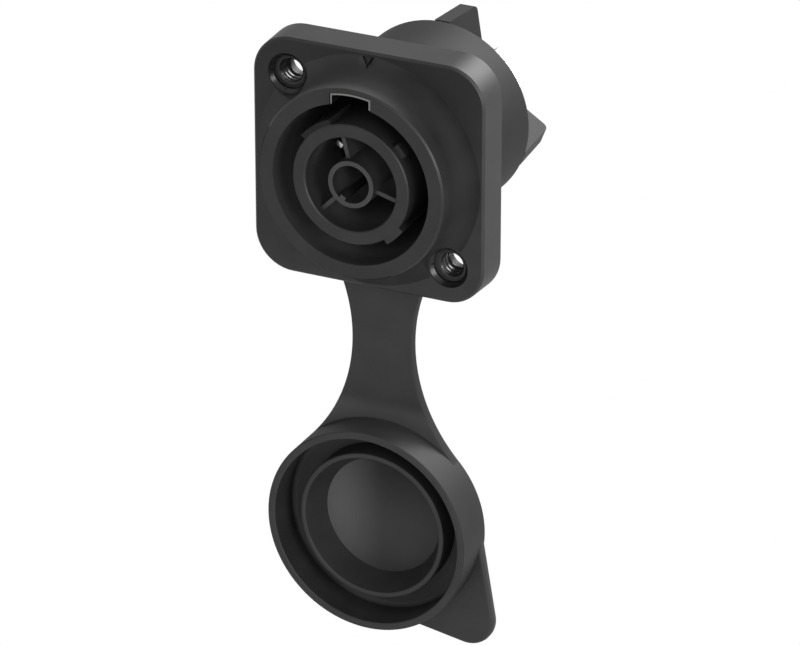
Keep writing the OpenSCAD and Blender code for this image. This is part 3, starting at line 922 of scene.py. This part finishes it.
# %% Cap sizes
CAP_FLOOR_Y = -0.8 * MM
RIM_INNER_R = 10.6 * MM
PLUG_OUTER_R = 8.35 * MM
PLUG_LIP_R = 7.8 * MM
PLUG_ROOT_R = 6.6 * MM
RIM_FRONT_Y = cap_low.y
PLUG_FRONT_Y = -3.73 * MM
ROUND_SIDES = 192
cap_centre = Vector((0, 0, CAP_Z))
print("cap rim has a radius of", round(RIM_R / MM, 2), "mm")

# %% Draw the cup from a thick disc


def draw_to(y_from, y_to):
    """Extrudes the selected face along Y."""
    bpy.ops.mesh.extrude_region_move(TRANSFORM_OT_translate={"value": (0, y_to - y_from, 0)})


def shrink(r_from, r_to):
    """Shrinks the selected face about the cap's axis."""
    share = r_to / r_from
    bpy.ops.transform.resize(value=(share, 1, share), center_override=cap_centre)


def inset(r_from, r_to):
    """Extrudes the selected face in place and shrinks it."""
    draw_to(0, 0)
    shrink(r_from, r_to)


cap = round_bar(RIM_R, cap_centre + Vector((0, RIM_FRONT_Y / 2, 0)), ROUND_SIDES, -RIM_FRONT_Y)
cap.name = "cap_cup"
bpy.ops.object.transform_apply(location=True, rotation=True, scale=True)
with editing(cap, "FACE", lambda face: face.normal.y < -0.9):
    inset(RIM_R, RIM_INNER_R)
    draw_to(RIM_FRONT_Y, CAP_FLOOR_Y)
    inset(RIM_INNER_R, PLUG_OUTER_R)
    draw_to(CAP_FLOOR_Y, PLUG_FRONT_Y)
    inset(PLUG_OUTER_R, PLUG_LIP_R)
    draw_to(PLUG_FRONT_Y, CAP_FLOOR_Y)
    shrink(PLUG_LIP_R, PLUG_ROOT_R)
    bpy.ops.mesh.select_all(action="SELECT")
    bpy.ops.mesh.normals_make_consistent(inside=False)
print(cap.name, "drawn with", len(cap.data.polygons), "faces")

# %% Round the cap's edges
LIPS = ((RIM_R, RIM_FRONT_Y), (RIM_INNER_R, RIM_FRONT_Y),
        (PLUG_OUTER_R, PLUG_FRONT_Y), (PLUG_LIP_R, PLUG_FRONT_Y))


def round_ring(radius, y, width_mm, segments):
    """Rounds one of the cup's round edges."""
    def on_ring(edge):
        return all(abs(end.y - y) < NEAR and abs(from_axis(end, cap_centre) - radius) < NEAR
                   for end in corners(cap, edge))

    with editing(cap, "EDGE", on_ring):
        bpy.ops.mesh.bevel(offset=width_mm * MM, segments=segments)


for radius, y in LIPS:
    round_ring(radius, y, 0.16, 3)
round_ring(RIM_INNER_R, CAP_FLOOR_Y, 0.5, 5)
even_shading(cap)
finish_piece(cap, rubber_finish)

# %% Surfaces of the cap
FLOOR_CENTRE_R = 2 * MM


def on_floor(face):
    """The floor is one large face, so its centre lies on the axis."""
    return face.normal.y < -0.9 and outward(face, cap_centre)[0] < FLOOR_CENTRE_R


def on_rim_wall(face):
    reach, looks = outward(face, cap_centre)
    return looks > 0.7 and reach > RIM_INNER_R


def in_plug(face):
    reach, looks = outward(face, cap_centre)
    return looks < -0.6 and reach < PLUG_LIP_R


def in_groove(face):
    reach = outward(face, cap_centre)[0]
    in_depth = face.center.y > PLUG_FRONT_Y / 2
    return face.normal.y < -0.1 and PLUG_OUTER_R < reach < RIM_INNER_R and in_depth


# Painted sheen on the cap's floor.
paint_faces(cap, floor_sheen_finish, on_floor)
paint_faces(cap, rim_finish, on_rim_wall)
paint_faces(cap, wall_finish, in_plug)
# Painted fill light in the groove.
paint_faces(cap, groove_fill_light_finish, in_groove)
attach(cap, "cap")
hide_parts("sealing_cap")

# %% [markdown]
# ## Grip tab
# The tab is the hull of the cap's round and a small round beside it. It is as thick as the strap.
# Its edges are rounded while it is still a simple form, and then the cap's round is cut out of it.

# %% Grip tab
GRIP_R = 3.0 * MM
GRIP_OFFSET = 9.95 * MM
HULL_R = RIM_R - 0.3 * MM
FACING_FRONT = (math.pi / 2, 0, 0)

bpy.ops.object.select_all(action="DESELECT")
bpy.ops.mesh.primitive_circle_add(vertices=96, radius=HULL_R, location=cap_centre,
                                  rotation=FACING_FRONT)
grip = bpy.context.object
grip.name = "grip_tab"
bpy.ops.object.transform_apply(location=True, rotation=True, scale=True)
with editing(grip):
    bpy.ops.mesh.primitive_circle_add(vertices=64, radius=GRIP_R, rotation=FACING_FRONT,
                                      location=cap_centre + Vector((GRIP_OFFSET, 0, -GRIP_OFFSET)))
    bpy.ops.mesh.select_all(action="SELECT")
    draw_to(0, -STRAP_T)
    bpy.ops.mesh.select_all(action="SELECT")
    bpy.ops.mesh.convex_hull()
    bpy.ops.mesh.select_all(action="SELECT")
    bpy.ops.mesh.dissolve_limited(angle_limit=FLAT)
    bpy.ops.mesh.select_all(action="SELECT")
    bpy.ops.mesh.normals_make_consistent(inside=False)
round_edges(grip, 0.35, segments=3)
cut_with(grip, round_bar(SEAT_R, cap_centre))
even_shading(grip)
finish_piece(grip, rubber_finish)
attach(grip, "cap")

# %% [markdown]
# ## View transform
# The scene uses the Standard view transform.

# %% View transform
scene = bpy.context.scene
scene.view_settings.view_transform = "Standard"
bpy.context.view_layer.update()
